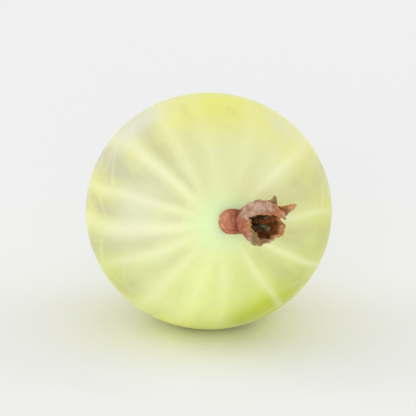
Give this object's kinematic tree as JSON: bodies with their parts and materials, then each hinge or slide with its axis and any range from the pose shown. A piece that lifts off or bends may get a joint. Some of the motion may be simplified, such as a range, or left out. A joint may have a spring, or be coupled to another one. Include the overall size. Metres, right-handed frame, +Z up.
{
  "type": "gooseberry",
  "caption": "Ripe green gooseberry as picked, lying on its side: ribbed oval berry, withered brown calyx at one end and a short stalk at the other.",
  "frame": {"origin": "middle of the small flat that the berry rests on, on the surface that it lies on", "axes": "+Z up, +Y from the calyx end towards the stalk end, +X to the right when the calyx is looked at"},
  "size_m": [0.0226, 0.0345, 0.0214],
  "materials": {
    "skin": "satin, translucent, pale yellow-green with lighter veins",
    "dried_flower": "matt, withered, speckled brown",
    "green_stalk": "matt, pale green turning brown at the break"
  },
  "bodies": {
    "root": {"berry": "skin", "calyx": "dried_flower", "stalk": "green_stalk"}
  },
  "joints": []
}
